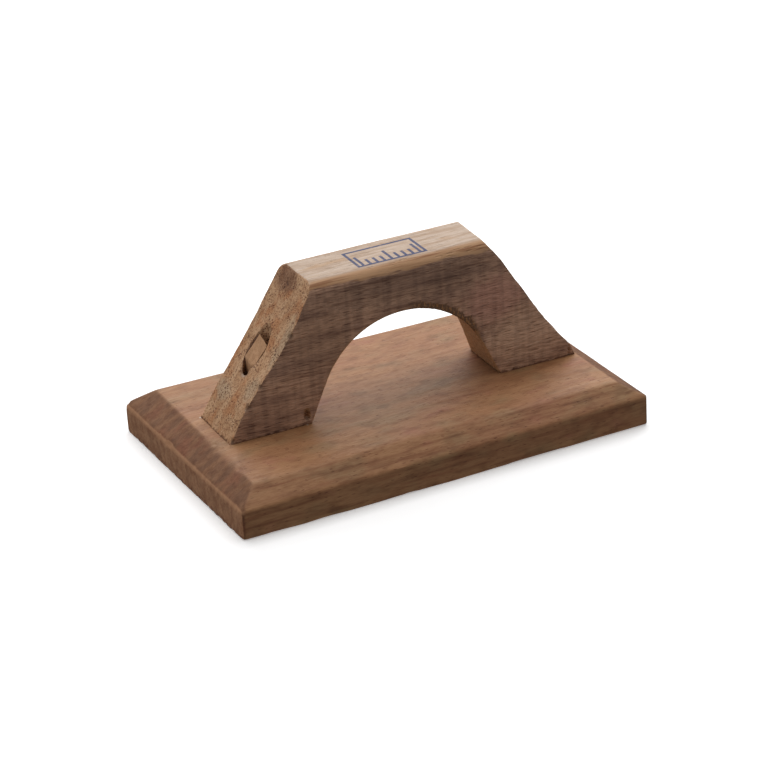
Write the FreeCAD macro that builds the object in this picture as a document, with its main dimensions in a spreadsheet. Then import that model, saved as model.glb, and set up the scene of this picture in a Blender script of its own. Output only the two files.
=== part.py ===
import FreeCAD, Part
import math
import os
import Sketcher
from FreeCAD import Vector

# Wooden hand float: a bevelled rubbing board, a bridge handle sawn from one thick
# piece, and a peg driven down through each leg of the handle into the board.
# Millimetres, +Z up. +X runs along the board, and the origin is the middle of the
# sole, the flat underside that rubs the mortar.

SIZES = {
    # board
    "board_length": 150.0,
    "board_width": 95.0,
    "board_thickness": 15.3,
    "side_height": 10.0,         # upright sides, below the bevels
    # level widths of the bevels; two are planed out of square
    "bevel_front": 7.5,
    "bevel_right": 7.8,
    "bevel_left_front": 7.8,
    "bevel_left_back": 9.8,
    "bevel_back_left": 6.1,
    "bevel_back_right": 10.0,
    "corner_round": 1.2,
    "sole_ease": 0.8,            # rounding of the sole's edges
    # handle, which stands along the flat top of the board
    "foot_margin_left": 5.3,     # from the left bevel's front end to the left foot
    "foot_margin_right": 0.1,    # from the right foot to the right bevel
    "handle_shift": -0.7,        # of its centre line, in Y
    "handle_yaw": -1.0,          # it is fixed a degree out of line
    "handle_width": 24.6,
    "handle_rise": 49.0,         # top above the board
    "top_length": 62.8,
    "end_hollow": 0.5,           # depth of the hollow in each sloping end
    "top_round": 4.5,            # rounding of the two long top edges
    "arch_crown": 31.6,          # height of the hand gap
    "arch_radius": 31.6,
    "arch_lean": 65.0,           # lean of the gap's straight lower sides, from level
    "arch_ease_front": 0.9,      # rounding of the gap's front edge
    "arch_ease_back": 4.6,       # and of its back edge
    # pegs: rectangular sticks driven into round holes
    "peg_bore": 9.6,
    "peg_inward": 3.1,           # from the middle of each foot towards the gap
    "peg_offset": 1.3,           # holes behind the handle's centre line
    "peg_short": 6.0,            # thickness of the stick
    "corner_crush": 0.16,        # what the hole crushes off each of its corners
    "peg_turn": 10.0,            # turn of each peg's section, mirrored end to end
    "socket_depth": 10.0,        # of the hole in the board
    "peg_tip_gap": 0.5,          # left empty under each peg
    # how far a cutting shape stands clear of what it cuts
    "cut_margin": 1.0,
}

doc = FreeCAD.newDocument("HandFloat")
sheet = doc.addObject("Spreadsheet::Sheet", "Sizes")
for row, (alias, value) in enumerate(SIZES.items(), start=1):
    sheet.set(f"A{row}", alias)
    sheet.set(f"B{row}", str(value))
    sheet.setAlias(f"B{row}", alias)
doc.recompute()

START, END, CENTRE = 1, 2, 3      # the points of a sketch line or arc
ORIGIN, X_AXIS, Y_AXIS = (-1, 1), -1, -2
LEFT, RIGHT = -1, 1
FRONT, BACK = -1, 1

# sizes that follow from others. The handle's own frame is at the middle of its
# foot line, where it meets the board.
LEFT_FOOT = "(Sizes.bevel_left_front + Sizes.foot_margin_left)"
RIGHT_FOOT = "(Sizes.bevel_right + Sizes.foot_margin_right)"
HANDLE_LENGTH = f"(Sizes.board_length - {LEFT_FOOT} - {RIGHT_FOOT})"
HANDLE_PLACE = {
    "Base.x": f"({LEFT_FOOT} - {RIGHT_FOOT}) / 2",
    "Base.y": "Sizes.handle_shift",
    "Base.z": "Sizes.board_thickness",
    "Rotation.Angle": "Sizes.handle_yaw * 1deg",
}
END_CHORD_SQUARED = f"((({HANDLE_LENGTH} - Sizes.top_length) / 2)^2 + Sizes.handle_rise^2)"
END_RADIUS = f"({END_CHORD_SQUARED} / (8 * Sizes.end_hollow) + Sizes.end_hollow / 2)"
LEAN = "(Sizes.arch_lean * 1deg)"
SIDE_HEIGHT = f"(Sizes.arch_crown - Sizes.arch_radius * (1 - cos({LEAN})))"
GAP_REACH = f"(Sizes.arch_radius * sin({LEAN}) + {SIDE_HEIGHT} / tan({LEAN}))"
PEG_REACH = f"(({HANDLE_LENGTH} / 2 + {GAP_REACH}) / 2 - Sizes.peg_inward)"
PEG_LONG = "sqrt((Sizes.peg_bore + 2 * Sizes.corner_crush)^2 - Sizes.peg_short^2)"


# ---- helpers: bodies and sketches -----------------------------------------------

def place(thing, path, formulas):
    """Bind parts of a placement to the sheet; its rotation is about Z."""
    for part, formula in formulas.items():
        thing.setExpression(f"{path}.{part}", formula)


def worth(formula):
    """The value of a formula with the sheet's numbers."""
    return float(sheet.evalExpression(formula))


def new_body(name, formulas=None):
    body = doc.addObject("PartDesign::Body", name)
    body.Label = name
    place(body, "Placement", formulas or {})
    return body


def new_sketch(body, role, name, formulas=None):
    """A sketch on one of the body's own origin planes, moved by its offset."""
    sketch = body.newObject("Sketcher::SketchObject", name)
    plane = next(item for item in body.Origin.OriginFeatures if item.Role == role)
    sketch.AttachmentSupport = (plane, [""])
    sketch.MapMode = "FlatFace"
    place(sketch, "AttachmentOffset", formulas or {})
    return sketch


def join(sketch, *args):
    sketch.addConstraint(Sketcher.Constraint(*args))


def measure(sketch, formula, *args):
    """A driving dimension bound to the sheet."""
    value = sketch.evalExpression(formula)
    index = sketch.addConstraint(Sketcher.Constraint(*args, value))
    sketch.setExpression(f"Constraints[{index}]", formula)


def across(sketch, formula, side, inner, outer):
    """A level distance from an inner point to one further out on that side."""
    first, second = (inner, outer) if side == RIGHT else (outer, inner)
    measure(sketch, formula, "DistanceX", *first, *second)


def chain(sketch, points):
    """Lines from point to point, joined end to start; constraints then move them."""
    lines = [sketch.addGeometry(Part.LineSegment(a, b)) for a, b in zip(points, points[1:])]
    for line, following in zip(lines, lines[1:]):
        join(sketch, "Coincident", line, END, following, START)
    return lines


def rectangle(sketch, length, width):
    """A rectangle centred on the sketch's origin."""
    corners = [Vector(-20, -10, 0), Vector(20, -10, 0), Vector(20, 10, 0), Vector(-20, 10, 0)]
    south, east, north, west = chain(sketch, corners + corners[:1])
    join(sketch, "Coincident", west, END, south, START)
    for line in (south, north):
        join(sketch, "Horizontal", line)
    for line in (east, west):
        join(sketch, "Vertical", line)
    join(sketch, "Symmetric", south, START, north, START, *ORIGIN)
    measure(sketch, length, "DistanceX", south, START, south, END)
    measure(sketch, width, "DistanceY", east, START, east, END)


def circle(sketch, radius, centre=Vector(0, 0, 0)):
    ring = sketch.addGeometry(Part.Circle(centre, Vector(0, 0, 1), 5))
    measure(sketch, radius, "Radius", ring)
    return ring


def peg_holes(sketch):
    """The two round peg holes, in the handle's frame."""
    for side in (LEFT, RIGHT):
        ring = circle(sketch, "Sizes.peg_bore / 2", Vector(side * 40, 2, 0))
        across(sketch, PEG_REACH, side, ORIGIN, (ring, CENTRE))
        measure(sketch, "Sizes.peg_offset", "DistanceY", *ORIGIN, ring, CENTRE)


# ---- helpers: features ------------------------------------------------------------

def pad(body, sketch, name, length, midplane=False):
    feature = body.newObject("PartDesign::Pad", name)
    feature.Profile = sketch
    feature.setExpression("Length", length)
    feature.Midplane = midplane
    doc.recompute()
    return feature


def checked_cut(body, feature):
    """Recompute after a cutting feature, which must take material away."""
    before = body.Shape.Volume
    doc.recompute()
    if body.Shape.Volume > before - 0.001:
        raise RuntimeError(f"{feature.Name} cuts nothing")
    return feature


def pocket(body, sketch, name, depth=None):
    """Cut the profile to a depth, or right through both ways from its plane."""
    feature = body.newObject("PartDesign::Pocket", name)
    feature.Profile = sketch
    if depth:
        feature.setExpression("Length", depth)
    else:
        feature.Type = "ThroughAll"
        feature.Midplane = True
    return checked_cut(body, feature)


def fillet(body, name, radius, wanted):
    """Round the edges of the body so far that the test picks out."""
    base = body.Tip
    edges = enumerate(base.Shape.Edges, start=1)
    feature = body.newObject("PartDesign::Fillet", name)
    feature.Base = (base, [f"Edge{number}" for number, edge in edges if wanted(edge)])
    feature.setExpression("Radius", radius)
    return checked_cut(body, feature)


def near(a, b):
    return abs(a - b) < 1e-4


# ---- board --------------------------------------------------------------------------

def bevel_waste(sketch, side, half_length, inset):
    """What is planed off above one bevel, drawn on a plane across it."""
    arris, brow, over, far, level = chain(sketch, [
        Vector(side * 75, 10, 0), Vector(side * 67, 15, 0), Vector(side * 67, 16, 0),
        Vector(side * 76, 16, 0), Vector(side * 76, 10, 0), Vector(side * 75, 10, 0)])
    join(sketch, "Coincident", level, END, arris, START)
    for line in (over, level):
        join(sketch, "Horizontal", line)
    for line in (brow, far):
        join(sketch, "Vertical", line)
    across(sketch, half_length, side, ORIGIN, (arris, START))
    measure(sketch, "Sizes.side_height", "DistanceY", *ORIGIN, arris, START)
    across(sketch, inset, side, (arris, END), (arris, START))
    measure(sketch, "Sizes.board_thickness", "DistanceY", *ORIGIN, arris, END)
    measure(sketch, "Sizes.cut_margin", "DistanceY", brow, START, brow, END)
    across(sketch, "Sizes.cut_margin", side, (level, END), (level, START))


def tapered_bevel(board, plane, side, half_length, half_run, ends):
    """Plane off a bevel that changes in width: a loft between a section past each end.

    half_run is half the bevel's own length. ends has the size that holds the width at each
    end, and the end's direction along the plane's normal.
    """
    sections = []
    for width, direction in ends.items():
        offset = {"Base.z": f"{direction} * ({half_run} + Sizes.cut_margin)"}
        section = new_sketch(board, plane, width, offset)
        bevel_waste(section, side, half_length, f"Sizes.{width}")
        sections.append(section)
    loft = board.newObject("PartDesign::SubtractiveLoft", f"{sections[0].Label}_cut")
    loft.Profile = sections[0]
    loft.Sections = sections[1:]
    loft.Ruled = True
    checked_cut(board, loft)


def make_board():
    board = new_body("board")
    outline = new_sketch(board, "XY_Plane", "board_outline")
    rectangle(outline, "Sizes.board_length", "Sizes.board_width")
    pad(board, outline, "plank", "Sizes.board_thickness")
    fillet(board, "corners", "Sizes.corner_round",
           lambda edge: near(edge.BoundBox.ZLength, board.Shape.BoundBox.ZLength))
    fillet(board, "sole_edges", "Sizes.sole_ease", lambda edge: near(edge.BoundBox.ZMax, 0))

    for name, plane, side, half_length in (("bevel_front", "YZ_Plane", FRONT, "Sizes.board_width / 2"),
                                           ("bevel_right", "XZ_Plane", RIGHT, "Sizes.board_length / 2")):
        section = new_sketch(board, plane, name)
        bevel_waste(section, side, half_length, f"Sizes.{name}")
        pocket(board, section, f"{name}_cut")
    tapered_bevel(board, "XZ_Plane", LEFT, "Sizes.board_length / 2", "Sizes.board_width / 2",
                  {"bevel_left_front": 1, "bevel_left_back": -1})
    tapered_bevel(board, "YZ_Plane", BACK, "Sizes.board_width / 2", "Sizes.board_length / 2",
                  {"bevel_back_left": -1, "bevel_back_right": 1})

    sockets = new_sketch(board, "XY_Plane", "peg_sockets", HANDLE_PLACE)
    peg_holes(sockets)
    pocket(board, sockets, "peg_socket_cuts", "Sizes.socket_depth")
    return board


# ---- handle ----------------------------------------------------------------------------

def sloping_end(sketch, side):
    """The hollow arc of one end of the handle: (arc, its foot, its top)."""
    foot = Vector(side * worth(HANDLE_LENGTH) / 2, 0, 0)
    top = Vector(side * SIZES["top_length"] / 2, SIZES["handle_rise"], 0)
    radius = worth(END_RADIUS)
    outward = Vector(side * (top.y - foot.y), side * (foot.x - top.x), 0).normalize()
    centre = (foot + top) / 2 + outward * (radius - SIZES["end_hollow"])
    bearings = [math.atan2(point.y - centre.y, point.x - centre.x) for point in (foot, top)]
    if side == RIGHT:
        bearings.reverse()
    low, high = bearings
    arc = sketch.addGeometry(Part.ArcOfCircle(
        Part.Circle(centre, Vector(0, 0, 1), radius), low, high if high > low else high + 2 * math.pi))
    foot_end, top_end = (START, END) if side == LEFT else (END, START)
    measure(sketch, END_RADIUS, "Radius", arc)
    across(sketch, f"{HANDLE_LENGTH} / 2", side, ORIGIN, (arc, foot_end))
    across(sketch, "Sizes.top_length / 2", side, ORIGIN, (arc, top_end))
    join(sketch, "PointOnObject", arc, foot_end, X_AXIS)
    measure(sketch, "Sizes.handle_rise", "DistanceY", *ORIGIN, arc, top_end)
    return (arc, foot_end), (arc, top_end)


def hand_gap(sketch):
    """An arch: a round crown, and straight sides tangent to it down to the board."""
    left, = chain(sketch, [Vector(-35, 0, 0), Vector(-29, 13, 0)])
    right, floor = chain(sketch, [Vector(29, 13, 0), Vector(35, 0, 0), Vector(-35, 0, 0)])
    crown = sketch.addGeometry(Part.ArcOfCircle(
        Part.Circle(Vector(0, 0, 0), Vector(0, 0, 1), 32), math.radians(25), math.radians(155)))
    peak = sketch.addGeometry(Part.Point(Vector(0, 32, 0)), True)
    join(sketch, "Coincident", floor, END, left, START)
    join(sketch, "Tangent", left, END, crown, END)
    join(sketch, "Tangent", crown, START, right, START)
    join(sketch, "Symmetric", left, START, right, END, Y_AXIS)
    join(sketch, "PointOnObject", left, START, X_AXIS)
    join(sketch, "PointOnObject", crown, CENTRE, Y_AXIS)
    join(sketch, "PointOnObject", peak, START, crown)
    join(sketch, "PointOnObject", peak, START, Y_AXIS)
    measure(sketch, "Sizes.arch_crown", "DistanceY", *ORIGIN, peak, START)
    measure(sketch, "Sizes.arch_radius", "Radius", crown)
    measure(sketch, LEAN, "Angle", left)


def make_handle():
    handle = new_body("handle", HANDLE_PLACE)
    outline = new_sketch(handle, "XZ_Plane", "handle_outline")
    left_foot, left_top = sloping_end(outline, LEFT)
    right_foot, right_top = sloping_end(outline, RIGHT)
    for first, second in ((left_top, right_top), (right_foot, left_foot)):
        line, = chain(outline, [outline.getPoint(*first), outline.getPoint(*second)])
        join(outline, "Coincident", line, START, *first)
        join(outline, "Coincident", line, END, *second)
    pad(handle, outline, "blank", "Sizes.handle_width", midplane=True)

    gap = new_sketch(handle, "XZ_Plane", "hand_gap")
    hand_gap(gap)
    pocket(handle, gap, "hand_gap_cut")

    bores = new_sketch(handle, "XY_Plane", "peg_bores")
    peg_holes(bores)
    pocket(handle, bores, "peg_bore_cuts")

    half_width = SIZES["handle_width"] / 2
    rise, crown = SIZES["handle_rise"], SIZES["arch_crown"]

    def long_top_edge(edge):
        box = edge.BoundBox
        return near(box.ZMin, rise) and near(box.YLength, 0)

    def gap_edge(edge, face_y):
        box = edge.BoundBox
        on_the_face = near(box.YMin, face_y) and near(box.YMax, face_y)
        return on_the_face and 0.001 < box.ZMax < crown + 0.001

    fillet(handle, "long_top_edges", "Sizes.top_round", long_top_edge)
    fillet(handle, "gap_front_edge", "Sizes.arch_ease_front", lambda edge: gap_edge(edge, -half_width))
    fillet(handle, "gap_back_edge", "Sizes.arch_ease_back", lambda edge: gap_edge(edge, half_width))
    return handle


# ---- pegs ---------------------------------------------------------------------------------

def make_peg(name, side):
    """A rectangular stick, its corners crushed to the round hole, cut flush on top."""
    peg = new_body(name, HANDLE_PLACE)
    stand = {
        "Base.x": f"{side} * {PEG_REACH}",
        "Base.y": "Sizes.peg_offset",
        "Base.z": "Sizes.peg_tip_gap - Sizes.socket_depth",
        "Rotation.Angle": f"{side} * Sizes.peg_turn * 1deg",
    }
    hole_wall = new_sketch(peg, "XY_Plane", f"{name}_round", stand)
    join(hole_wall, "Coincident", circle(hole_wall, "Sizes.peg_bore / 2"), CENTRE, *ORIGIN)
    pad(peg, hole_wall, f"{name}_stick", "Sizes.handle_rise + Sizes.socket_depth - Sizes.peg_tip_gap")

    flats = new_sketch(peg, "XY_Plane", f"{name}_section", stand)
    rectangle(flats, "Sizes.peg_short", PEG_LONG)
    join(flats, "Coincident", circle(flats, "Sizes.peg_bore"), CENTRE, *ORIGIN)
    pocket(peg, flats, f"{name}_flats")

    flush = new_sketch(peg, "XZ_Plane", f"{name}_top")
    foot, top = sloping_end(flush, side)
    corner = Vector(flush.getPoint(*foot).x, flush.getPoint(*top).y, 0)
    level, upright = chain(flush, [flush.getPoint(*top), corner, flush.getPoint(*foot)])
    join(flush, "Coincident", level, START, *top)
    join(flush, "Coincident", upright, END, *foot)
    join(flush, "Horizontal", level)
    join(flush, "Vertical", upright)
    pocket(peg, flush, f"{name}_flush_cut")
    return peg


# ---- the float ------------------------------------------------------------------------------

pieces = [make_board(), make_handle(), make_peg("peg_left", LEFT), make_peg("peg_right", RIGHT)]
doc.recompute()
for item in doc.Objects:
    if {"Invalid", "Error"} & set(item.State):
        raise RuntimeError(f"{item.Label} did not compute: {item.State}")
os.makedirs("parts", exist_ok=True)
for piece in pieces:
    shape = piece.Shape
    if shape.isNull() or not shape.isValid():
        raise RuntimeError(f"{piece.Label} has no valid shape")
for piece in pieces:
    piece.Shape.exportStep(f"parts/{piece.Label}.step")
    box = piece.Shape.optimalBoundingBox()
    print(f"{piece.Label}: {piece.Shape.Volume / 1000:.2f} cm3, solids {len(piece.Shape.Solids)},",
          f"x {box.XMin:.2f}..{box.XMax:.2f}, y {box.YMin:.2f}..{box.YMax:.2f},",
          f"z {box.ZMin:.2f}..{box.ZMax:.2f}")
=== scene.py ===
"""Looks of a small wooden hand float: a bevelled board, a pegged handle and a printed mark."""
import itertools
import math

import bpy
import numpy as np
from mathutils import Matrix, Vector


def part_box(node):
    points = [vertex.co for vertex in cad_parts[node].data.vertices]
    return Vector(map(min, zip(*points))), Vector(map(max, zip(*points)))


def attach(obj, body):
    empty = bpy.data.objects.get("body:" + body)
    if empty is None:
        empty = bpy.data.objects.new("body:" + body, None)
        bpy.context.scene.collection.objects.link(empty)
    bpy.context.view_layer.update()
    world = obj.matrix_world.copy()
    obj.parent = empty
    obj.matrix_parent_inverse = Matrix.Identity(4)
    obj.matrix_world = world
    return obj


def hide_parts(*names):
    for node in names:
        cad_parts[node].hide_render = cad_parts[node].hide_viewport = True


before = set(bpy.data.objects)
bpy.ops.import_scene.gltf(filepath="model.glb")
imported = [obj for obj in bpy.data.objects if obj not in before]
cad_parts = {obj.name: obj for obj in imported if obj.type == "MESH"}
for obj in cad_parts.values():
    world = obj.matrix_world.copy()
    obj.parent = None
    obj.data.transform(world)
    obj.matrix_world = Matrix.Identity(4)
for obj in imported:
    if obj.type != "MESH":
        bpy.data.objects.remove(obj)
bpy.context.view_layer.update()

MM = 0.001
LEFT, RIGHT = -1, 1
FRONT, BACK = -1, 1

# sizes in millimetres, as the CAD model has them
board_low, board_high = (np.array(corner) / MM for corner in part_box("board"))
LENGTH, WIDTH, THICKNESS = board_high - board_low
SIDE_HEIGHT = 10.0
SIDE_RISE = 0.5                         # how much higher the sides are at the right end
BEVEL_FRONT = 7.5
BEVEL_BACK = (6.1, 10.0)                # at its left and right ends
BEVEL_RIGHT = 7.8
BEVEL_LEFT = (7.8, 9.8)                 # at its front and back ends
CORNER_ROUNDS = {(LEFT, FRONT): 1.3, (RIGHT, FRONT): 1.0, (RIGHT, BACK): 1.2, (LEFT, BACK): 2.0}

# the handle's own frame has its origin at the middle of its foot line
HANDLE_SHIFT = np.array([2.6, -0.7, THICKNESS])
HANDLE_YAW = math.radians(-1.0)
FOOT_REACH = 64.5                       # half the handle's length along the board
TOP_REACH = {LEFT: 31.1, RIGHT: 31.7}
HALF_WIDTH = 12.3
RISE = 49.0
FOOT_CLEARANCE = 0.03                   # between the rough foot and the board
TOP_ROUND = 4.5
ARCH_RADIUS = 31.6
ARCH_SHIFT = 0.4                        # the gap's middle is a little right of the handle's
ARCH_LEAN = math.radians(65.0)
GAP_EASE_BACK = (3.8, 8.0)              # at the board, and from half way up
GAP_EASE_FRONT = {LEFT: 1.1, RIGHT: 0.7}
GAP_FLARE = (0.5, 1.8, 0.0)             # its widening to the back: low, half way up, at the crown
FLARE_WIDEST = 0.55                     # where that is, as a share of the gap's height

# hand sawing left the sloping ends wavy: (height, front and back edge's stand from straight)
END_WAVES = {
    LEFT: [(0, 0, 0), (10, 1.0, 0.3), (17, 0.3, -0.3), (28, -1.3, -0.7), (37, -1.4, -0.6),
           (43, -0.6, -0.5), (49, 0, 0)],
    RIGHT: [(0, 0, 0), (4.5, 0.8, 0.6), (10, 0, 0), (17, -0.5, -0.5), (32, 0.1, 0.2),
            (41, 0.6, 0.6), (49, 0, 1.2)],
}

PEG_REACH = 46.8
PEG_OFFSET = 1.3
PEG_BORE = 9.6
BORE_STRETCH = 1.12                     # the drill was rocked along the board
PEG_LOW = -9.5                          # the peg's tip, in the board
SOCKET_LOW = -10.0
DRILL_HIGH = RISE + 5                   # clear of the handle's top
# the whittled left peg in plan, from the middle of its hole; the right one mirrors it
PEG_CORNERS = [(2.7, 3.1), (-2.8, 4.2), (-3.5, -2.2), (-2.7, -4.1), (1.9, -4.4)]

# worn and damaged places: (centre, radii), in the handle's own frame apart from the first
RUBBED_BROW = (-LENGTH / 2 + BEVEL_LEFT[0], -16, THICKNESS), (7, 21, 7)
KNOT_HOLE = (-36.4, -12.4, 3.6), (1.4, 1.8, 2.9)
FOOT_CRACK = (62.0, -12.3, 1.5), (0.7, 2.0, 4.5)
TORN_RIM = (-52.2, 0.9, 18.2), (2.4, 3.6, 2.4)
# stains of the front and a paler place low on its right leg; the stained crest of the left sloping
# end, and its smoother greyish patches
RED_PATCH = (34, -12.3, 28), (14, 30, 12)
GREY_LEG = (47, -12.3, 12), (22, 30, 13)
DARK_CREST = (4, -12.3, 42), (44, 30, 11)
DARK_LEG = (-30, -12.3, 28), (16, 30, 14)
STAINED_END = (-33, 4, 46), (9, 10, 6)
SMOOTH_PATCHES = [((-58, 7, 11), (7, 7, 4)), ((-53, -9, 15), (7, 5, 6)),
                  ((-42, -10.5, 30), (10, 3, 16))]
# chips out of the front edge of the left sloping end: (height, size)
EDGE_CHIPS = [(33.0, 1.9), (30.8, 1.2), (24.0, 0.8), (17.9, 1.5), (11.6, 1.9), (1.2, 1.6)]
TORN_FROM, TORN_TO = 2, 30              # along the hand gap's front edge
GLUE_SPECKS = [(-36.7, -12.3, 0.0), (-64.6, 12.0, 0.0)]

# the printed mark on the handle's top
MARK_Y = -1.4
MARK_LENGTH, MARK_WIDTH = 24.4, 12.4
TICK_STEP = 2.6
TICK_FROM, TICK_LONGER = -1.6, 3.4      # where a tick ends, and how much further each fourth one

# mesh cells along X, Y and Z
BOARD_GRID = (230, 146, 16)
HANDLE_GRID = (340, 48, 44)
DRILL_GRID = (16, 16, 60)
PEG_GRID = (18, 18, 70)


# ---- mesh tools -------------------------------------------------------------------

def noise(points, cell, seed):
    """Smooth noise from -1 to 1. cell is its grain in mm, one size or one for each axis."""
    grid = points / np.broadcast_to(np.array(cell, float), 3)
    base = np.floor(grid).astype(np.int64)
    part = grid - base
    part = part * part * (3 - 2 * part)
    total = np.zeros(len(points))
    for corner in itertools.product((0, 1), repeat=3):
        cells = base + corner
        mixed = cells @ np.array([73856093, 19349663, 83492791]) + seed * 2654435761
        mixed = ((mixed ^ (mixed >> 13)) * 1274126177) & 0xFFFFFFFF
        mixed = ((mixed ^ (mixed >> 16)) * 2246822519) & 0xFFFFFFFF
        share = np.prod(np.where(corner, part, 1 - part), axis=1)
        total += share * (((mixed >> 8) & 0xFFFF) / 0x7FFF - 1)
    return total


def fade(values, low, high):
    """0 up to low and 1 from high on, smooth between; low may be the larger."""
    part = np.clip((values - low) / (high - low), 0, 1)
    return part * part * (3 - 2 * part)


def blob(points, centre, radii):
    """1 at the centre, fading to 0 on an ellipsoid."""
    reach = np.linalg.norm((points - np.array(centre)) / np.array(radii), axis=1)
    return fade(reach, 1, 0)


def shell(counts, place):
    """A closed mesh of quads over a cube's surface: (points, quads).

    place moves points from the cube, whose coordinates run from -1 to 1, to the piece.
    """
    size = np.array(counts) + 1
    keys = []
    for axis in range(3):
        across, up = (axis + 1) % 3, (axis + 2) % 3
        a, b = np.meshgrid(np.arange(counts[across]), np.arange(counts[up]), indexing="ij")
        for level in (0, counts[axis]):
            quads = np.zeros((a.size, 4, 3), np.int64)
            steps = ((0, 0), (1, 0), (1, 1), (0, 1))
            for number, (step_a, step_b) in enumerate(steps if level else steps[::-1]):
                quads[:, number, axis] = level
                quads[:, number, across] = a.ravel() + step_a
                quads[:, number, up] = b.ravel() + step_b
            keys.append(quads.reshape(-1, 3))
    keys = np.concatenate(keys)
    flat = (keys[:, 0] * size[1] + keys[:, 1]) * size[2] + keys[:, 2]
    _, first, index = np.unique(flat, return_index=True, return_inverse=True)
    cube = 2 * keys[first] / np.array(counts) - 1
    return place(cube), index.reshape(-1, 4)


def edges_of(quads):
    pairs = np.concatenate([quads[:, [n, (n + 1) % 4]] for n in range(4)])
    return np.unique(np.sort(pairs, axis=1), axis=0)


def soften(points, quads, rounds, weight):
    """Round the ridges by moving each point towards the middle of its neighbours."""
    edges = edges_of(quads)
    count = np.bincount(edges.ravel(), minlength=len(points))[:, None]
    for _ in range(rounds):
        middle = np.zeros_like(points)
        np.add.at(middle, edges[:, 0], points[edges[:, 1]])
        np.add.at(middle, edges[:, 1], points[edges[:, 0]])
        points = points + (middle / count - points) * weight[:, None]
    return points


def normals_of(points, quads):
    corners = points[quads]
    faces = np.cross(corners[:, 2] - corners[:, 0], corners[:, 3] - corners[:, 1])
    total = np.zeros_like(points)
    for n in range(4):
        np.add.at(total, quads[:, n], faces)
    return total / np.maximum(np.linalg.norm(total, axis=1, keepdims=True), 1e-12)


def square_to_round(reach_a, reach_b):
    """The factor that brings a point of a square corner on to a round one."""
    longest = np.maximum(reach_a, reach_b)
    return np.where(np.minimum(reach_a, reach_b) > 0,
                    longest / np.maximum(np.hypot(reach_a, reach_b), 1e-9), 1)


def make_object(name, points, quads, material, sharp=40):
    mesh = bpy.data.meshes.new(name)
    mesh.from_pydata((points * MM).tolist(), [], quads.tolist())
    mesh.materials.append(material)
    mesh.shade_smooth()
    mesh.set_sharp_from_angle(angle=math.radians(sharp))
    piece = bpy.data.objects.new(name, mesh)
    bpy.context.scene.collection.objects.link(piece)
    return piece


def turned(points, angle):
    """The points turned about Z."""
    c, s = math.cos(angle), math.sin(angle)
    return points @ np.array([[c, s, 0], [-s, c, 0], [0, 0, 1]])


def on_handle(points):
    """From the handle's own frame to the float's."""
    return turned(np.array(points), HANDLE_YAW) + HANDLE_SHIFT


# ---- board ----------------------------------------------------------------------------

BEVEL_SHARE = 0.16                      # part of each half of the grid that a bevel takes


def board_shape(cube):
    """Upright sides below, then bevels up to a flat top."""
    u, v, w = cube.T
    flat = 1 - BEVEL_SHARE
    out_x = np.clip((np.abs(u) - flat) / BEVEL_SHARE, 0, 1)
    out_y = np.clip((np.abs(v) - flat) / BEVEL_SHARE, 0, 1)
    back = BEVEL_BACK[0] + (BEVEL_BACK[1] - BEVEL_BACK[0]) * (u + 1) / 2
    bevel = np.where(v < 0, BEVEL_FRONT, back)
    y = np.sign(v) * (np.minimum(np.abs(v) / flat, 1) * (WIDTH / 2 - bevel) + bevel * out_y)
    left = BEVEL_LEFT[0] + (BEVEL_LEFT[1] - BEVEL_LEFT[0]) * (y / WIDTH + 0.5)
    inset = np.where(u < 0, left, BEVEL_RIGHT)
    x = np.sign(u) * (np.minimum(np.abs(u) / flat, 1) * (LENGTH / 2 - inset) + inset * out_x)
    fall = np.maximum(out_x, out_y)
    side = SIDE_HEIGHT + SIDE_RISE * np.clip(u, 0, 1)
    z = np.where(w >= 1, THICKNESS - (THICKNESS - side) * fall, (w + 1) / 2 * side)
    for (side_x, side_y), radius in CORNER_ROUNDS.items():
        reach_x = x * side_x - (LENGTH / 2 - radius)
        reach_y = y * side_y - (WIDTH / 2 - radius)
        gain = square_to_round(reach_x, reach_y) - 1
        x = x + reach_x * gain * side_x
        y = y + reach_y * gain * side_y
    return np.stack([x, y, z], axis=1)


def make_board(material):
    points, quads = shell(BOARD_GRID, board_shape)
    worn = soften(points, quads, 3, np.clip(0.45 + 0.35 * noise(points, 9, seed=11), 0.1, 0.9))
    worn = soften(worn, quads, 30, 0.9 * blob(points, *RUBBED_BROW))
    from_left_arris = np.hypot(points[:, 0] + LENGTH / 2, points[:, 2] - SIDE_HEIGHT)
    uneven = 0.5 + 0.4 * noise(points, 7, seed=14)
    worn = soften(worn, quads, 10, fade(from_left_arris, 2.6, 0.8) * uneven)
    ridge = fade(np.linalg.norm(worn - points, axis=1), 0.05, 0.25)
    points = worn
    normals = normals_of(points, quads)

    waves = 0.05 * noise(points, (30, 12, 12), seed=3)
    grain = 0.015 * noise(points, (8, 1.5, 1.5), seed=4)
    ridge_chips = 0.25 * ridge * fade(noise(points, (5, 2, 2), seed=12), 0.35, 0.8)
    left_foot = fade(points[:, 0], -70, -75) * fade(points[:, 2], 3.5, 0.5)
    foot_chips = 0.07 * left_foot * fade(noise(points, (2, 2.6, 1.6), seed=13), -0.1, 0.6)
    rough = waves + grain - ridge_chips - foot_chips
    for speck in on_handle(GLUE_SPECKS):
        rough += 0.2 * blob(points, speck, (0.7, 0.7, 0.7))
    points = points + normals * rough[:, None]
    points[:, 2] = np.maximum(points[:, 2], 0)
    piece = make_object("board_wood", points, quads, material)
    drilled(piece, SOCKET_LOW)
    return piece


# ---- handle ------------------------------------------------------------------------------

TOP_SHARE = 0.34                        # part of the grid that the flat top takes


def half_width_at(height):
    """Half the handle's width, which its rounded top edges take in."""
    drop = np.clip(height - (RISE - TOP_ROUND), 0, TOP_ROUND)
    return HALF_WIDTH - TOP_ROUND + np.sqrt(TOP_ROUND ** 2 - drop ** 2)


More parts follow.
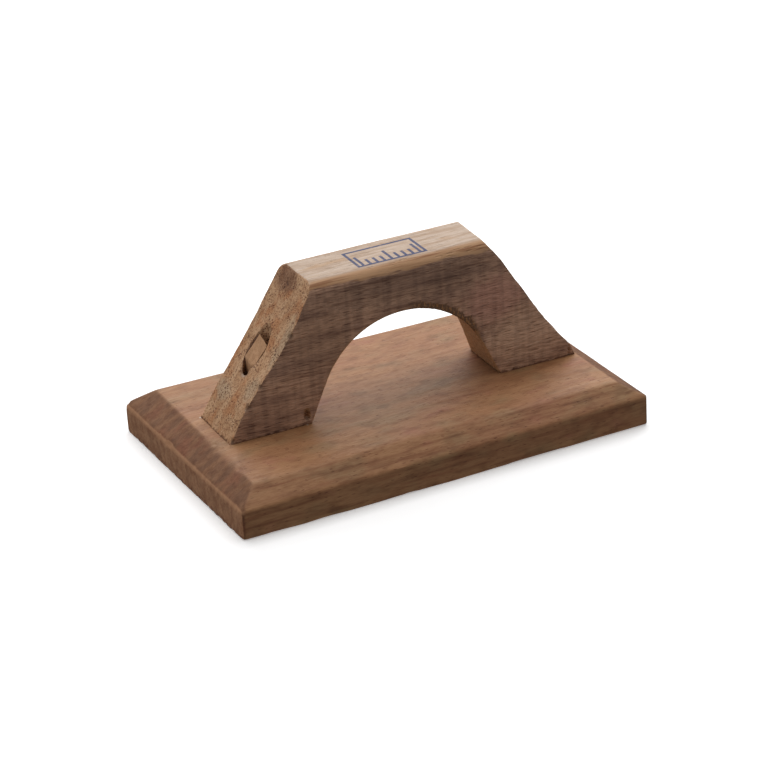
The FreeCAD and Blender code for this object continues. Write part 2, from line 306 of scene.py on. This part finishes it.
def eased(values, at, heights):
    """A curve that is level at each of its points."""
    step = np.clip(np.searchsorted(at, values, side="right") - 1, 0, len(at) - 2)
    low, high = np.array(at)[step], np.array(at)[step + 1]
    rise = np.array(heights)
    return rise[step] + (rise[step + 1] - rise[step]) * fade((values - low) / (high - low), 0, 1)


def end_x(side, y, z):
    """How far out a sloping end is."""
    heights, front, back = zip(*END_WAVES[side])
    share = np.clip(y / HALF_WIDTH / 2 + 0.5, 0, 1)
    wave = eased(z, heights, front) * (1 - share) + eased(z, heights, back) * share
    return FOOT_REACH - (FOOT_REACH - TOP_REACH[side]) * z / RISE + wave


def arch_point(part):
    """A point of the hand gap's edge, from the crown at 0 to the foot at 1: (x, height)."""
    side_height = ARCH_RADIUS * math.cos(ARCH_LEAN)
    side_length = side_height / math.sin(ARCH_LEAN)
    turn_length = ARCH_RADIUS * ARCH_LEAN
    length = part * (turn_length + side_length)
    angle = np.minimum(length, turn_length) / ARCH_RADIUS
    beyond = np.maximum(length - turn_length, 0)
    x = ARCH_RADIUS * np.sin(angle) + beyond * math.cos(ARCH_LEAN)
    return x, ARCH_RADIUS * np.cos(angle) - beyond * math.sin(ARCH_LEAN)


def handle_outside(u, v):
    """The flat top and its two sloping ends, as far as the top edges' 45 degree line."""
    flat = HALF_WIDTH - TOP_ROUND
    reach = v * (flat + TOP_ROUND * math.pi / 4)
    angle = np.clip(np.abs(reach) - flat, 0, None) / TOP_ROUND
    y = np.sign(reach) * (np.minimum(np.abs(reach), flat) + TOP_ROUND * np.sin(angle))
    z = RISE - TOP_ROUND * (1 - np.cos(angle))
    edge_y = flat + TOP_ROUND * math.sin(math.pi / 4)
    edge_z = RISE - TOP_ROUND * (1 - math.cos(math.pi / 4))
    down = np.clip((np.abs(u) - TOP_SHARE) / (1 - TOP_SHARE), 0, 1)
    y = y * np.where(down > 0, half_width_at(edge_z * (1 - down)) / edge_y, 1)
    z = z * (1 - down)
    level = np.where(down > 0, 1, np.abs(u) / TOP_SHARE)
    x = np.where(u < 0, -end_x(LEFT, y, z), end_x(RIGHT, y, z)) * level
    return np.stack([x, y, z], axis=1)


def handle_inside(u, v):
    """The hand gap's surface."""
    corner = math.atan2(FOOT_REACH / 2, RISE) / (ARCH_LEAN + 1 / math.tan(ARCH_LEAN))
    part = np.interp(np.abs(u), [0, TOP_SHARE, 1], [0, corner, 1])
    x, z = arch_point(part)
    return np.stack([np.sign(u) * x + ARCH_SHIFT, v * HALF_WIDTH, z], axis=1)


def handle_shape(cube):
    u, v, w = cube.T
    outward = ((w + 1) / 2)[:, None]
    points = handle_inside(u, v) * (1 - outward) + handle_outside(u, v) * outward
    faces = np.abs(v) >= 1
    points[faces, 1] = np.sign(v[faces]) * half_width_at(points[faces, 2])
    return flare_gap(ease_gap(points))


def gap_depth(points):
    """How deep in the wood a point is from the hand gap, and the way there: (depth, x, z)."""
    x, z = points[:, 0] - ARCH_SHIFT, points[:, 2]
    bearing = np.minimum(np.arctan2(np.abs(x), np.maximum(z, 1e-9)), ARCH_LEAN)
    depth = np.abs(x) * np.sin(bearing) + z * np.cos(bearing) - ARCH_RADIUS
    return depth, np.sign(x) * np.sin(bearing), np.cos(bearing)


def ease_gap(points):
    """Round the hand gap's edges: the back one most, the front one more on the left."""
    depth, way_x, way_z = gap_depth(points)
    x, y = points[:, 0], points[:, 1]
    front = np.interp(x, [-18, 12], [GAP_EASE_FRONT[LEFT], GAP_EASE_FRONT[RIGHT]])
    back = np.interp(points[:, 2], [0, ARCH_RADIUS / 2], GAP_EASE_BACK)
    radius = np.where(y > 0, back, front)
    reach_in = radius - depth
    reach_out = np.abs(y) - (HALF_WIDTH - radius)
    gain = square_to_round(reach_in, reach_out) - 1
    eased_points = points.copy()
    eased_points[:, 0] -= way_x * reach_in * gain
    eased_points[:, 2] -= way_z * reach_in * gain
    eased_points[:, 1] += np.sign(y) * reach_out * gain
    return eased_points


def flare_gap(points):
    """Widen the hand gap towards its back, most of all half way up."""
    back = np.clip(points[:, 1] / HALF_WIDTH / 2 + 0.5, 0, 1)
    wider = np.interp(points[:, 2], [0, FLARE_WIDEST * ARCH_RADIUS, ARCH_RADIUS], GAP_FLARE)
    flared = points.copy()
    flared[:, 0] += np.sign(points[:, 0]) * wider * back * fade(gap_depth(points)[0], 12, 0)
    return flared


def chip_place(height):
    return (-end_x(LEFT, -HALF_WIDTH, height), -HALF_WIDTH, height)


def chip_radii(size):
    return (size, size, 0.8 * size)


def handle_marks(points, normals):
    """Depth of the places where the handle was chipped, torn or cracked."""
    depth = gap_depth(points)[0]
    along, across = points[:, 0], points[:, 1]
    torn = fade(along, TORN_FROM, 12) * fade(along, TORN_TO, 25)
    torn *= fade(depth, 2.6, 0.3) * fade(across, -8.5, -11) * np.abs(normals[:, 1])
    cut = 0.6 * torn * fade(noise(points, (1.6, 3, 0.8), seed=31), -0.3, 0.6)
    cut += 1.7 * blob(points, *KNOT_HOLE) + 0.7 * blob(points, *FOOT_CRACK)
    cut += blob(points, *TORN_RIM)
    for height, size in EDGE_CHIPS:
        cut += 0.5 * size * blob(points, chip_place(height), chip_radii(size))
    return cut


def make_handle(material):
    points, quads = shell(HANDLE_GRID, handle_shape)
    worn = soften(points, quads, 2, np.clip(0.3 + 0.3 * noise(points, 6, seed=21), 0.05, 0.9))
    ridge = fade(np.linalg.norm(worn - points, axis=1), 0.03, 0.2)
    points = worn
    normals = normals_of(points, quads)

    waves = 0.05 * noise(points, (25, 10, 10), seed=5)
    grain = 0.02 * noise(points, (12, 1.2, 1.2), seed=6)
    sawn = fade(np.abs(normals[:, 0]), 0.5, 0.8)
    saw_marks = sawn * 0.07 * (noise(points, 1.3, seed=7) + noise(points, 3.5, seed=8))
    ridge_chips = 0.35 * ridge * fade(noise(points, (3, 2, 1.6), seed=22), 0.2, 0.8)
    rough = waves + grain + saw_marks - ridge_chips - handle_marks(points, normals)
    points = points + normals * rough[:, None]
    points[:, 2] = np.clip(points[:, 2], FOOT_CLEARANCE, RISE)
    piece = make_object("handle_wood", on_handle(points), quads, material)
    drilled(piece, -PEG_BORE)
    return piece


# ---- pegs and their holes ------------------------------------------------------------------

def drilled(piece, low):
    """Cut the two slightly ragged peg holes from that height of the handle's frame upwards."""
    for side in (LEFT, RIGHT):
        shape = shell(DRILL_GRID, lambda cube: drill_shape(cube, side, low))
        drill = make_object("drill", *shape, piece.data.materials[0])
        cut = piece.modifiers.new("drill", "BOOLEAN")
        cut.object = drill
        cut.solver = "EXACT"
        apply_modifiers(piece)
        bpy.data.objects.remove(drill)


def drill_shape(cube, side, low):
    plan = cube * [1, 1, 0]
    widest = np.max(np.abs(plan), axis=1)
    plan *= (widest / np.maximum(np.linalg.norm(plan, axis=1), 1e-9) * PEG_BORE / 2)[:, None]
    plan[:, 2] = low + (DRILL_HIGH - low) * (cube[:, 2] + 1) / 2
    uneven = noise(plan + [0, 0, 90 * side], (3, 3, 2), seed=41)
    plan[:, :2] *= (1 + 0.045 * uneven)[:, None]
    plan[:, 0] *= BORE_STRETCH
    return on_handle(plan + [side * PEG_REACH, PEG_OFFSET, 0])


def apply_modifiers(piece):
    """Turn the modified shape into the piece's own mesh."""
    graph = bpy.context.evaluated_depsgraph_get()
    mesh = bpy.data.meshes.new_from_object(piece.evaluated_get(graph))
    piece.modifiers.clear()
    piece.data = mesh


def peg_radius(bearing):
    """The whittled section's radius at a bearing from the middle of the hole."""
    radius = np.full(len(bearing), 99.0)
    for (ax, ay), (bx, by) in zip(PEG_CORNERS, PEG_CORNERS[1:] + PEG_CORNERS[:1]):
        out = np.array([by - ay, ax - bx]) / math.hypot(bx - ax, by - ay)
        toward = np.cos(bearing) * out[0] + np.sin(bearing) * out[1]
        wall = ax * out[0] + ay * out[1]
        to_wall = wall / np.maximum(toward, 1e-6)
        radius = np.where(toward > 1e-6, np.minimum(radius, to_wall), radius)
    return radius


def peg_shape(cube, side):
    bearing = np.arctan2(cube[:, 1], cube[:, 0])
    reach = np.max(np.abs(cube[:, :2]), axis=1) * peg_radius(bearing)
    x = -side * reach * np.cos(bearing) + side * PEG_REACH
    y = reach * np.sin(bearing) + PEG_OFFSET
    heights = np.linspace(0, RISE, 200)
    cut = np.interp(-np.abs(x), -end_x(side, PEG_OFFSET, heights), heights)
    z = PEG_LOW + (cut - PEG_LOW) * (cube[:, 2] + 1) / 2
    return np.stack([x, y, z], axis=1)


def make_peg(side, material):
    points, quads = shell(PEG_GRID, lambda cube: peg_shape(cube, side))
    if side == RIGHT:
        quads = quads[:, ::-1]
    points = soften(points, quads, 1, np.full(len(points), 0.35))
    points += normals_of(points, quads) * (0.05 * noise(points, (1.2, 1.2, 9), seed=51))[:, None]
    name = "peg_wood_left" if side == LEFT else "peg_wood_right"
    return make_object(name, on_handle(points), quads, material)


# ---- materials ---------------------------------------------------------------------------

# colours in linear light; two of them are what a broad grain varies between
BOARD_BROWNS = (0.408, 0.211, 0.096), (0.333, 0.154, 0.069)
BOARD_DULL, BOARD_RED = (0.325, 0.182, 0.085), (0.36, 0.155, 0.08)
PLANED_END = (0.225, 0.106, 0.049), (0.165, 0.074, 0.035)
PLANED_RED = (0.21, 0.082, 0.038)
SAWN_END = (0.40, 0.205, 0.108), (0.31, 0.15, 0.075)
WORN_ARRIS = (0.42, 0.22, 0.115)
GLUE = (0.52, 0.45, 0.38)
FACE_BROWNS = (0.64, 0.382, 0.249), (0.43, 0.25, 0.169)
FACE_RED, FACE_GREY = (0.60, 0.32, 0.228), (0.72, 0.46, 0.31)
TOP_PALES = (0.52, 0.40, 0.31), (0.41, 0.28, 0.19)
TOP_TAN, EDGE_TAN, GAP_TAN = (0.45, 0.29, 0.175), (0.50, 0.285, 0.15), (0.46, 0.27, 0.14)
INK = (0.022, 0.036, 0.112)
SLOPE_TANS = (0.56, 0.345, 0.195), (0.45, 0.25, 0.128)
SLOPE_ORANGE, SLOPE_GREY = (0.44, 0.195, 0.08), (0.45, 0.315, 0.20)
SPLINTERS = (0.13, 0.065, 0.032), (0.34, 0.165, 0.065)
# the first is partly darker torn wood, partly painted shade in the chips and the hole by the left
# foot
CHIP_BROWN_AND_SHADE, RIM_BROWN = (0.13, 0.068, 0.036), (0.17, 0.085, 0.042)
PEG_TANS = (0.49, 0.275, 0.145), (0.41, 0.225, 0.115)


class Wood:
    """One wood material, and short calls that add its texture nodes.

    Cells and places are in millimetres in the float's frame. Values that a call takes are
    numbers or the outputs of other calls.
    """

    def __init__(self, name):
        self.material = bpy.data.materials.new(name)
        self.material.use_nodes = True
        self.nodes = self.material.node_tree.nodes
        self.shader = self.nodes["Principled BSDF"]
        place = self.nodes.new("ShaderNodeTexCoord")
        self.position = place.outputs["Object"]
        self.facing = [self.math("ABSOLUTE", part) for part in self.parts(place.outputs["Normal"])]
        self.upward = self.parts(place.outputs["Normal"])[2]

    def add(self, kind, inputs, **settings):
        node = self.nodes.new(kind)
        for key, value in settings.items():
            setattr(node, key, value)
        for key, value in inputs.items():
            self.feed(node.inputs[key], value)
        return node

    def feed(self, socket, value):
        if isinstance(value, bpy.types.NodeSocket):
            self.material.node_tree.links.new(value, socket)
        elif socket.type == "RGBA":
            socket.default_value = (*value, 1)
        else:
            socket.default_value = value

    def parts(self, vector):
        return self.add("ShaderNodeSeparateXYZ", {"Vector": vector}).outputs

    def math(self, operation, *values):
        return self.add("ShaderNodeMath", dict(enumerate(values)), operation=operation).outputs[0]

    def total(self, *weighted, start=0.0):
        """The sum of (value, weight) pairs and a starting number."""
        result = start
        for value, weight in weighted:
            result = self.math("MULTIPLY_ADD", value, weight, result)
        return result

    def product(self, *values):
        result = values[0]
        for value in values[1:]:
            result = self.math("MULTIPLY", result, value)
        return result

    def band(self, value, low, high):
        """0 up to low and 1 from high on, smooth between; low may be the larger."""
        inputs = {"Value": value, "From Min": low, "From Max": high}
        return self.add("ShaderNodeMapRange", inputs, interpolation_type="SMOOTHSTEP").outputs[0]

    def stretched(self, cell, shift=(0, 0, 0), turn=(0, 0, 0)):
        """Texture coordinates that go up by 1 over each cell."""
        cell = np.broadcast_to(np.array(cell, float), 3) * MM
        inputs = {"Vector": self.position, "Location": tuple(np.array(shift) * MM),
                  "Rotation": turn, "Scale": tuple(cell)}
        return self.add("ShaderNodeMapping", inputs, vector_type="TEXTURE").outputs[0]

    def grain(self, cell, detail=2.0, shift=(0, 0, 0), turn=(0, 0, 0)):
        """Noise round 0.5, mostly from 0.3 to 0.7."""
        inputs = {"Vector": self.stretched(cell, shift, turn), "Scale": 1.0, "Detail": detail}
        return self.add("ShaderNodeTexNoise", inputs).outputs[0]

    def patches(self, cell, low, high, detail=3, shift=(0, 0, 0)):
        """Noise cut to 0 and 1, as band does."""
        return self.band(self.grain(cell, detail, shift), low, high)

    def pores(self, cell, size, share, turn=(0, 0, 0)):
        """Scattered dots or dashes, of that size in cells; share of the cells have one."""
        inputs = {"Vector": self.stretched(cell, turn=turn), "Scale": 1.0}
        spots = self.add("ShaderNodeTexVoronoi", inputs)
        chosen = self.parts(spots.outputs["Color"])[0]
        return self.product(self.band(spots.outputs["Distance"], size, size * 0.5),
                            self.band(chosen, share, share * 0.8))

    def spot(self, centre, radii, ragged=0.8):
        """A spot with a ragged border."""
        inputs = {0: self.stretched(radii, centre)}
        reach = self.add("ShaderNodeVectorMath", inputs, operation="LENGTH")
        uneven = self.total((reach.outputs["Value"], 1.0), (self.grain(1.8, 3), ragged))
        return self.band(uneven, 1 + ragged / 2, 0.4 + ragged / 2)

    def spot_on_handle(self, place, ragged=0.8):
        """A spot at a place of the handle: (centre, radii)."""
        centre, radii = place
        return self.spot(on_handle(centre), radii, ragged)

    def tint(self, amount, under, over, mode="MIX"):
        inputs = {0: amount, 6: under, 7: over}
        return self.add("ShaderNodeMix", inputs, data_type="RGBA", blend_type=mode).outputs[2]

    def darken(self, amount, under, shade):
        """Multiply a colour by a shade."""
        return self.tint(amount, under, shade, "MULTIPLY")

    def finish(self, color, roughness, relief, depth):
        """Join up the shader; depth is the relief's, in mm."""
        inputs = {"Height": relief, "Distance": depth * MM, "Strength": 1.0}
        bump = self.add("ShaderNodeBump", inputs)
        self.feed(self.shader.inputs["Base Color"], color)
        self.feed(self.shader.inputs["Roughness"], roughness)
        self.feed(self.shader.inputs["Normal"], bump.outputs[0])
        self.shader.inputs["Specular IOR Level"].default_value = 0.35
        return self.material


def make_board_wood():
    """Reddish brown, long grain along X, planed end grain on the end bevels and sawn below them."""
    wood = Wood("board_wood")
    broad = wood.grain((60, 16, 14), 4)
    streaks = wood.grain((24, 1.5, 1.5), 4)
    fibres = wood.grain((2.6, 0.28, 0.28), 4)
    blotches = wood.grain((16, 9, 9), 4, shift=(40, 7, 3))
    dashes = wood.pores((2.4, 0.45, 0.45), 0.36, 0.2)
    flecks = wood.pores((3.4, 0.7, 0.7), 0.3, 0.1)
    veins = wood.patches((34, 2.4, 2.4), 0.56, 0.7, shift=(9, 5, 2))
    planed_slope = wood.band(wood.upward, 0.96, 0.86)
    ends = wood.band(wood.facing[0], 0.08, 0.5)

    color = wood.tint(wood.band(broad, 0.3, 0.7), *BOARD_BROWNS)
    color = wood.tint(wood.band(blotches, 0.48, 0.7), color, BOARD_DULL)
    color = wood.tint(wood.band(blotches, 0.42, 0.26), color, BOARD_RED)
    streaked = wood.darken(wood.band(streaks, 0.46, 0.72), color, (0.7, 0.6, 0.55))
    streaked = wood.darken(veins, streaked, (0.84, 0.74, 0.7))
    color = wood.tint(wood.total((planed_slope, 0.75), start=0.25), color, streaked)
    mottle = wood.patches((7, 3.2, 3.2), 0.44, 0.68, detail=4, shift=(3, 1, 8))
    color = wood.darken(mottle, color, (0.80, 0.75, 0.71))
    color = wood.darken(wood.band(fibres, 0.36, 0.72), color, (0.82, 0.77, 0.73))
    color = wood.darken(dashes, color, (0.62, 0.5, 0.42))
    color = wood.darken(flecks, color, (0.6, 0.5, 0.44))

    color = wood.tint(ends, color, board_end_grain(wood))
    arris = wood.product(wood.band(wood.upward, 0.12, 0.3), wood.band(wood.upward, 0.78, 0.6), ends)
    color = wood.tint(wood.product(arris, 0.5), color, WORN_ARRIS)
    height = wood.parts(wood.stretched(1))[2]
    torn = wood.product(wood.band(height, 3.2, 0.6), wood.band(wood.facing[0], 0.5, 0.8),
                        wood.patches((20, 1.6, 1.0), 0.45, 0.62))
    color = wood.darken(torn, color, (0.5, 0.38, 0.33))
    specks = (wood.spot(on_handle(centre), (0.5, 0.5, 0.5), 0.3) for centre in GLUE_SPECKS)
    color = wood.tint(wood.product(wood.math("MAXIMUM", *specks), 0.8), color, GLUE)

    roughness = wood.total((fibres, 0.25), (streaks, 0.2), (ends, 0.15), start=0.38)
    relief = wood.total((fibres, 0.7), (streaks, 0.5), (dashes, -0.8))
    return wood.finish(color, roughness, relief, depth=0.06)


def board_end_grain(wood):
    """The colour of the board's ends: planed dark on the bevels, paler and sawn below them."""
    rings = wood.patches((60, 3, 5), 0.35, 0.65, detail=4)
    planed = wood.tint(rings, *PLANED_END)
    planed = wood.tint(wood.patches((30, 10, 6), 0.48, 0.66, shift=(5, 2, 7)), planed, PLANED_RED)
    end = wood.tint(wood.band(wood.facing[0], 0.7, 0.85), planed, wood.tint(rings, *SAWN_END))
    end = wood.darken(wood.patches((30, 0.7, 0.7), 0.4, 0.7), end, (0.8, 0.74, 0.68))
    mottle = wood.patches(3.0, 0.45, 0.62, detail=4, shift=(6, 4, 1))
    return wood.darken(mottle, end, (0.84, 0.77, 0.72))


def make_handle_wood():
    """Dark weathered faces with the saw's bands, a pale top, and rough end grain on the slopes."""
    wood = Wood("handle_wood")
    tilt = (0, math.radians(2.0), HANDLE_YAW)
    fibres = wood.grain((3.4, 0.26, 0.26), 4, turn=tilt)
    streaks = wood.grain((18, 0.9, 0.9), 5, turn=tilt)
    broad = wood.grain((34, 6, 5), 4, turn=tilt)
    saw_bands = wood.grain((2.4, 60, 40), 3)
    speckle = wood.grain((3, 0.55, 0.55), 4, shift=(2, 6, 1))
    dashes = wood.pores((5, 0.5, 0.5), 0.38, 0.35, turn=tilt)
    along, across, up = wood.parts(wood.stretched(1, HANDLE_SHIFT, (0, 0, HANDLE_YAW)))
    slopes = wood.band(wood.facing[0], 0.45, 0.62)

    # the faces, with a redder patch above the right leg and a paler, greyer place below it
    face = wood.tint(wood.band(broad, 0.32, 0.68), *FACE_BROWNS)
    face = wood.tint(wood.spot_on_handle(RED_PATCH), face, FACE_RED)
    face = wood.tint(wood.product(wood.spot_on_handle(GREY_LEG), 0.85), face, FACE_GREY)
    face = wood.darken(wood.spot_on_handle(DARK_CREST), face, (0.72, 0.72, 0.73))
    face = wood.darken(wood.spot_on_handle(DARK_LEG), face, (0.84, 0.82, 0.8))
    face = wood.darken(wood.band(saw_bands, 0.35, 0.7), face, (0.76, 0.75, 0.76))
    face = wood.darken(wood.band(streaks, 0.47, 0.74), face, (0.62, 0.56, 0.53))
    face = wood.darken(wood.band(fibres, 0.38, 0.7), face, (0.58, 0.54, 0.52))
    face = wood.darken(dashes, face, (0.5, 0.42, 0.38))

    # the top, tan towards its rounded edges
    top = wood.tint(wood.patches((26, 2.4, 8), 0.4, 0.64, detail=4), *TOP_PALES)
    top = wood.tint(wood.patches((20, 5, 8), 0.55, 0.7, shift=(1, 2, 3)), top, TOP_TAN)
    top = wood.darken(wood.band(fibres, 0.4, 0.75), top, (0.82, 0.77, 0.73))
    tan = wood.darken(wood.band(streaks, 0.42, 0.68), EDGE_TAN, (0.62, 0.5, 0.42))
    top = wood.tint(wood.band(wood.facing[1], 0.12, 0.5), top, tan)
    top = wood.tint(printed_mark(wood), top, INK)

    end, open_pores = sloping_end_grain(wood, speckle)
    below = wood.darken(wood.band(streaks, 0.4, 0.7), GAP_TAN, (0.72, 0.64, 0.56))

    # the faces end in a ragged border where the top's rounding begins
    ragged_up = wood.total((wood.grain((9, 5, 0.7), 3), 5.0), (along, 0.014), start=up)
    on_face = wood.product(wood.band(wood.facing[1], 0.3, 0.55), wood.band(ragged_up, 49.4, 48.3))
    color = wood.tint(on_face, top, face)
    color = wood.tint(slopes, color, end)
    color = wood.tint(wood.band(wood.upward, -0.12, -0.3), color, below)

    # damage, partly painted shade in its hollows, and a painted shade line along the feet, where
    # they stand on the board
    splinters = wood.tint(wood.patches((0.7, 3, 1.2), 0.5, 0.64, detail=4), *SPLINTERS)
    color = wood.tint(torn_grain(wood, along, across, up), color, splinters)
    # dark brown over the hole by the left foot and the edge chips: partly darker torn wood, partly
    # painted shade in these hollows
    chipped = wood.spot_on_handle(KNOT_HOLE, ragged=0.5)
    for height, size in EDGE_CHIPS:
        chip = wood.spot_on_handle((chip_place(height), chip_radii(size)), ragged=0.5)
        chipped = wood.math("MAXIMUM", chipped, chip)
    color = wood.tint(wood.product(chipped, 0.85), color, CHIP_BROWN_AND_SHADE)
    color = wood.tint(wood.product(wood.spot_on_handle(TORN_RIM), 0.85), color, RIM_BROWN)
    # painted shade: darker along the bottom of the handle, where it stands on the board
    painted_foot_shade = wood.band(wood.total((wood.grain(1.6, 3), 2.6), start=up), 2.3, 1.3)
    color = wood.darken(painted_foot_shade, color, (0.35, 0.27, 0.23))

    roughness = wood.total((fibres, 0.2), (streaks, 0.15), (broad, 0.1), start=0.42)
    relief = wood.total((fibres, 0.6), (streaks, 0.6), (saw_bands, 0.15), (dashes, -0.8),
                        (open_pores, -1.8), (wood.product(speckle, slopes), 1.6))
    return wood.finish(color, roughness, relief, depth=0.08)


def sloping_end_grain(wood, speckle):
    """The sawn slopes: speckled tan end grain, its open pores, and stains: (color, pores)."""
    end = wood.tint(wood.patches((30, 3, 5), 0.35, 0.65, detail=4), *SLOPE_TANS)
    orange = wood.patches((30, 6, 7), 0.5, 0.66, shift=(8, 1, 5))
    end = wood.tint(wood.product(orange, 0.8), end, SLOPE_ORANGE)
    for patch in SMOOTH_PATCHES:
        end = wood.tint(wood.product(wood.spot_on_handle(patch), 0.8), end, SLOPE_GREY)
    end = wood.darken(wood.spot_on_handle(STAINED_END), end, (0.48, 0.4, 0.37))
    end = wood.darken(wood.band(speckle, 0.44, 0.66), end, (0.58, 0.47, 0.4))
    crowded = wood.patches((30, 4, 4), 0.42, 0.56, shift=(3, 9, 4))
    open_pores = wood.product(wood.pores((4, 0.68, 0.68), 0.48, 0.6), crowded)
    return wood.darken(open_pores, end, (0.36, 0.24, 0.17)), open_pores


def torn_grain(wood, along, across, up):
    """Where the saw tore the front edge of the hand gap, to the right of its crown."""
    squares = [(wood.product(part, part), 1.0) for part in (along, up)]
    reach = wood.math("SQRT", wood.total(*squares))
    ragged = wood.total((wood.grain((2.2, 6, 1.4), 5), 7.0), start=reach)
    return wood.product(wood.band(ragged, ARCH_RADIUS + 6.7, ARCH_RADIUS + 5.6),
                        wood.band(along, 0, 7), wood.band(along, TORN_TO, 26),
                        wood.band(across, -9.5, -11.0), 0.9)


def printed_mark(wood):
    """A ruler printed on the flat top: an outline, and ticks up from one long side."""
    middle = on_handle([0, MARK_Y, RISE])
    x, y, z = wood.parts(wood.stretched(1, middle, (0, 0, HANDLE_YAW)))
    off_x = wood.math("ABSOLUTE", x)
    past_end = wood.math("SUBTRACT", off_x, MARK_LENGTH / 2)
    past_side = wood.math("SUBTRACT", wood.math("ABSOLUTE", y), MARK_WIDTH / 2)
    outside = wood.math("MAXIMUM", past_end, past_side)
    outline = wood.band(wood.math("ABSOLUTE", outside), 0.62, 0.4)
    off_tick = wood.math("PINGPONG", off_x, TICK_STEP / 2)
    off_long = wood.math("PINGPONG", off_x, TICK_STEP * 2)
    tick_end = wood.total((wood.band(off_long, 0.7, 0.6), TICK_LONGER), start=TICK_FROM)
    ticks = wood.product(wood.band(off_tick, 0.6, 0.42), wood.band(outside, 0, -0.2),
                         wood.band(wood.math("SUBTRACT", y, tick_end), 0.1, -0.1))
    worn = wood.patches((1.6, 0.8, 2), 0.22, 0.42)
    on_top = wood.product(wood.band(wood.upward, 0.9, 0.97), wood.band(z, -3, -2))
    return wood.product(wood.math("MAXIMUM", outline, ticks), worn, on_top, 0.95)


def make_peg_wood():
    """Pale tan, its grain upright."""
    wood = Wood("peg_wood")
    fibres = wood.grain((0.35, 0.35, 7), 3)
    rings = wood.grain((1.3, 2.4, 40), 3)
    color = wood.tint(wood.band(rings, 0.35, 0.65), *PEG_TANS)
    color = wood.darken(wood.band(fibres, 0.4, 0.7), color, (0.78, 0.72, 0.66))
    roughness = wood.total((fibres, 0.3), (rings, 0.3), start=0.35)
    return wood.finish(color, roughness, fibres, depth=0.1)


# ---- studio -------------------------------------------------------------------------------

# the camera, in millimetres like the sizes above
CAMERA_AZIMUTH = math.radians(-25.92)
CAMERA_ELEVATION = math.radians(25.47)
CAMERA_ROLL = math.radians(-3.45)
CAMERA_DISTANCE = 950.0
CAMERA_AIM = np.array([-17.0, -36.1, 35.1])
CAMERA_LENS = 138.6

# softboxes in metres: (name, place, size, watts), all aimed at the float
SOFTBOXES = [
    ("back_softbox", (0.24, 0.45, 0.38), (1.0, 0.42), 3.6),
    ("top_softbox", (0.02, 0.18, 1.0), (1.0, 0.7), 5.6),
    ("left_softbox", (-0.9, 0.05, 0.30), (0.6, 0.4), 1.45),
    ("right_softbox", (0.75, -0.55, 0.30), (0.5, 0.4), 0.8),
]
WORLD_LIGHT = 0.24
PAPER_GLOW = 0.3


def aimed(place, aim):
    """A camera's or lamp's placement, looking at a point."""
    back = Vector(place) - Vector(aim)
    return Matrix.Translation(place) @ back.to_track_quat("Z", "Y").to_matrix().to_4x4()


def make_camera():
    a, e = CAMERA_AZIMUTH, CAMERA_ELEVATION
    back = np.array([math.sin(a) * math.cos(e), -math.cos(a) * math.cos(e), math.sin(e)])
    camera = bpy.data.objects.new("camera", bpy.data.cameras.new("camera"))
    camera.data.lens = CAMERA_LENS
    camera.data.clip_end = 20
    place = CAMERA_AIM + back * CAMERA_DISTANCE
    camera.matrix_world = aimed(place * MM, CAMERA_AIM * MM) @ Matrix.Rotation(CAMERA_ROLL, 4, "Z")
    bpy.context.scene.collection.objects.link(camera)
    bpy.context.scene.camera = camera


def make_softbox(name, place, size, watts):
    light = bpy.data.lights.new(name, "AREA")
    light.shape = "RECTANGLE"
    light.size, light.size_y = size
    light.energy = watts
    lamp = bpy.data.objects.new(name, light)
    lamp.matrix_world = aimed(place, (0, 0, 0.02))
    lamp.visible_camera = False
    bpy.context.scene.collection.objects.link(lamp)


def make_floor():
    """Pale paper, which lights the float no more than a dark studio floor would."""
    reach, level = 4.0, -0.0001
    signs = ((-1, -1), (1, -1), (1, 1), (-1, 1))
    corners = [(reach * x, reach * y, level) for x, y in signs]
    mesh = bpy.data.meshes.new("floor")
    mesh.from_pydata(corners, [], [(0, 1, 2, 3)])
    paper = bpy.data.materials.new("floor_paper")
    paper.use_nodes = True
    shader = paper.node_tree.nodes["Principled BSDF"]
    shader.inputs["Base Color"].default_value = (0.9, 0.9, 0.9, 1)
    shader.inputs["Roughness"].default_value = 0.9
    shader.inputs["Emission Color"].default_value = (1, 1, 1, 1)
    shader.inputs["Emission Strength"].default_value = PAPER_GLOW
    mesh.materials.append(paper)
    floor = bpy.data.objects.new("floor", mesh)
    bpy.context.scene.collection.objects.link(floor)
    floor.visible_diffuse = False
    floor.visible_glossy = False


def make_studio():
    make_floor()
    world = bpy.data.worlds.new("studio")
    world.use_nodes = True
    world.node_tree.nodes["Background"].inputs["Color"].default_value = (1, 1, 1, 1)
    world.node_tree.nodes["Background"].inputs["Strength"].default_value = WORLD_LIGHT
    bpy.context.scene.world = world
    for box in SOFTBOXES:
        make_softbox(*box)
    bpy.context.scene.view_settings.view_transform = "Standard"


def main():
    peg_wood = make_peg_wood()
    for piece, node, slot in ((make_board(make_board_wood()), "board", "board_wood"),
                              (make_handle(make_handle_wood()), "handle", "handle_wood"),
                              (make_peg(LEFT, peg_wood), "peg_left", "peg_wood"),
                              (make_peg(RIGHT, peg_wood), "peg_right", "peg_wood")):
        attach(piece, "root")
        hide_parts(node)
    make_studio()
    make_camera()


main()
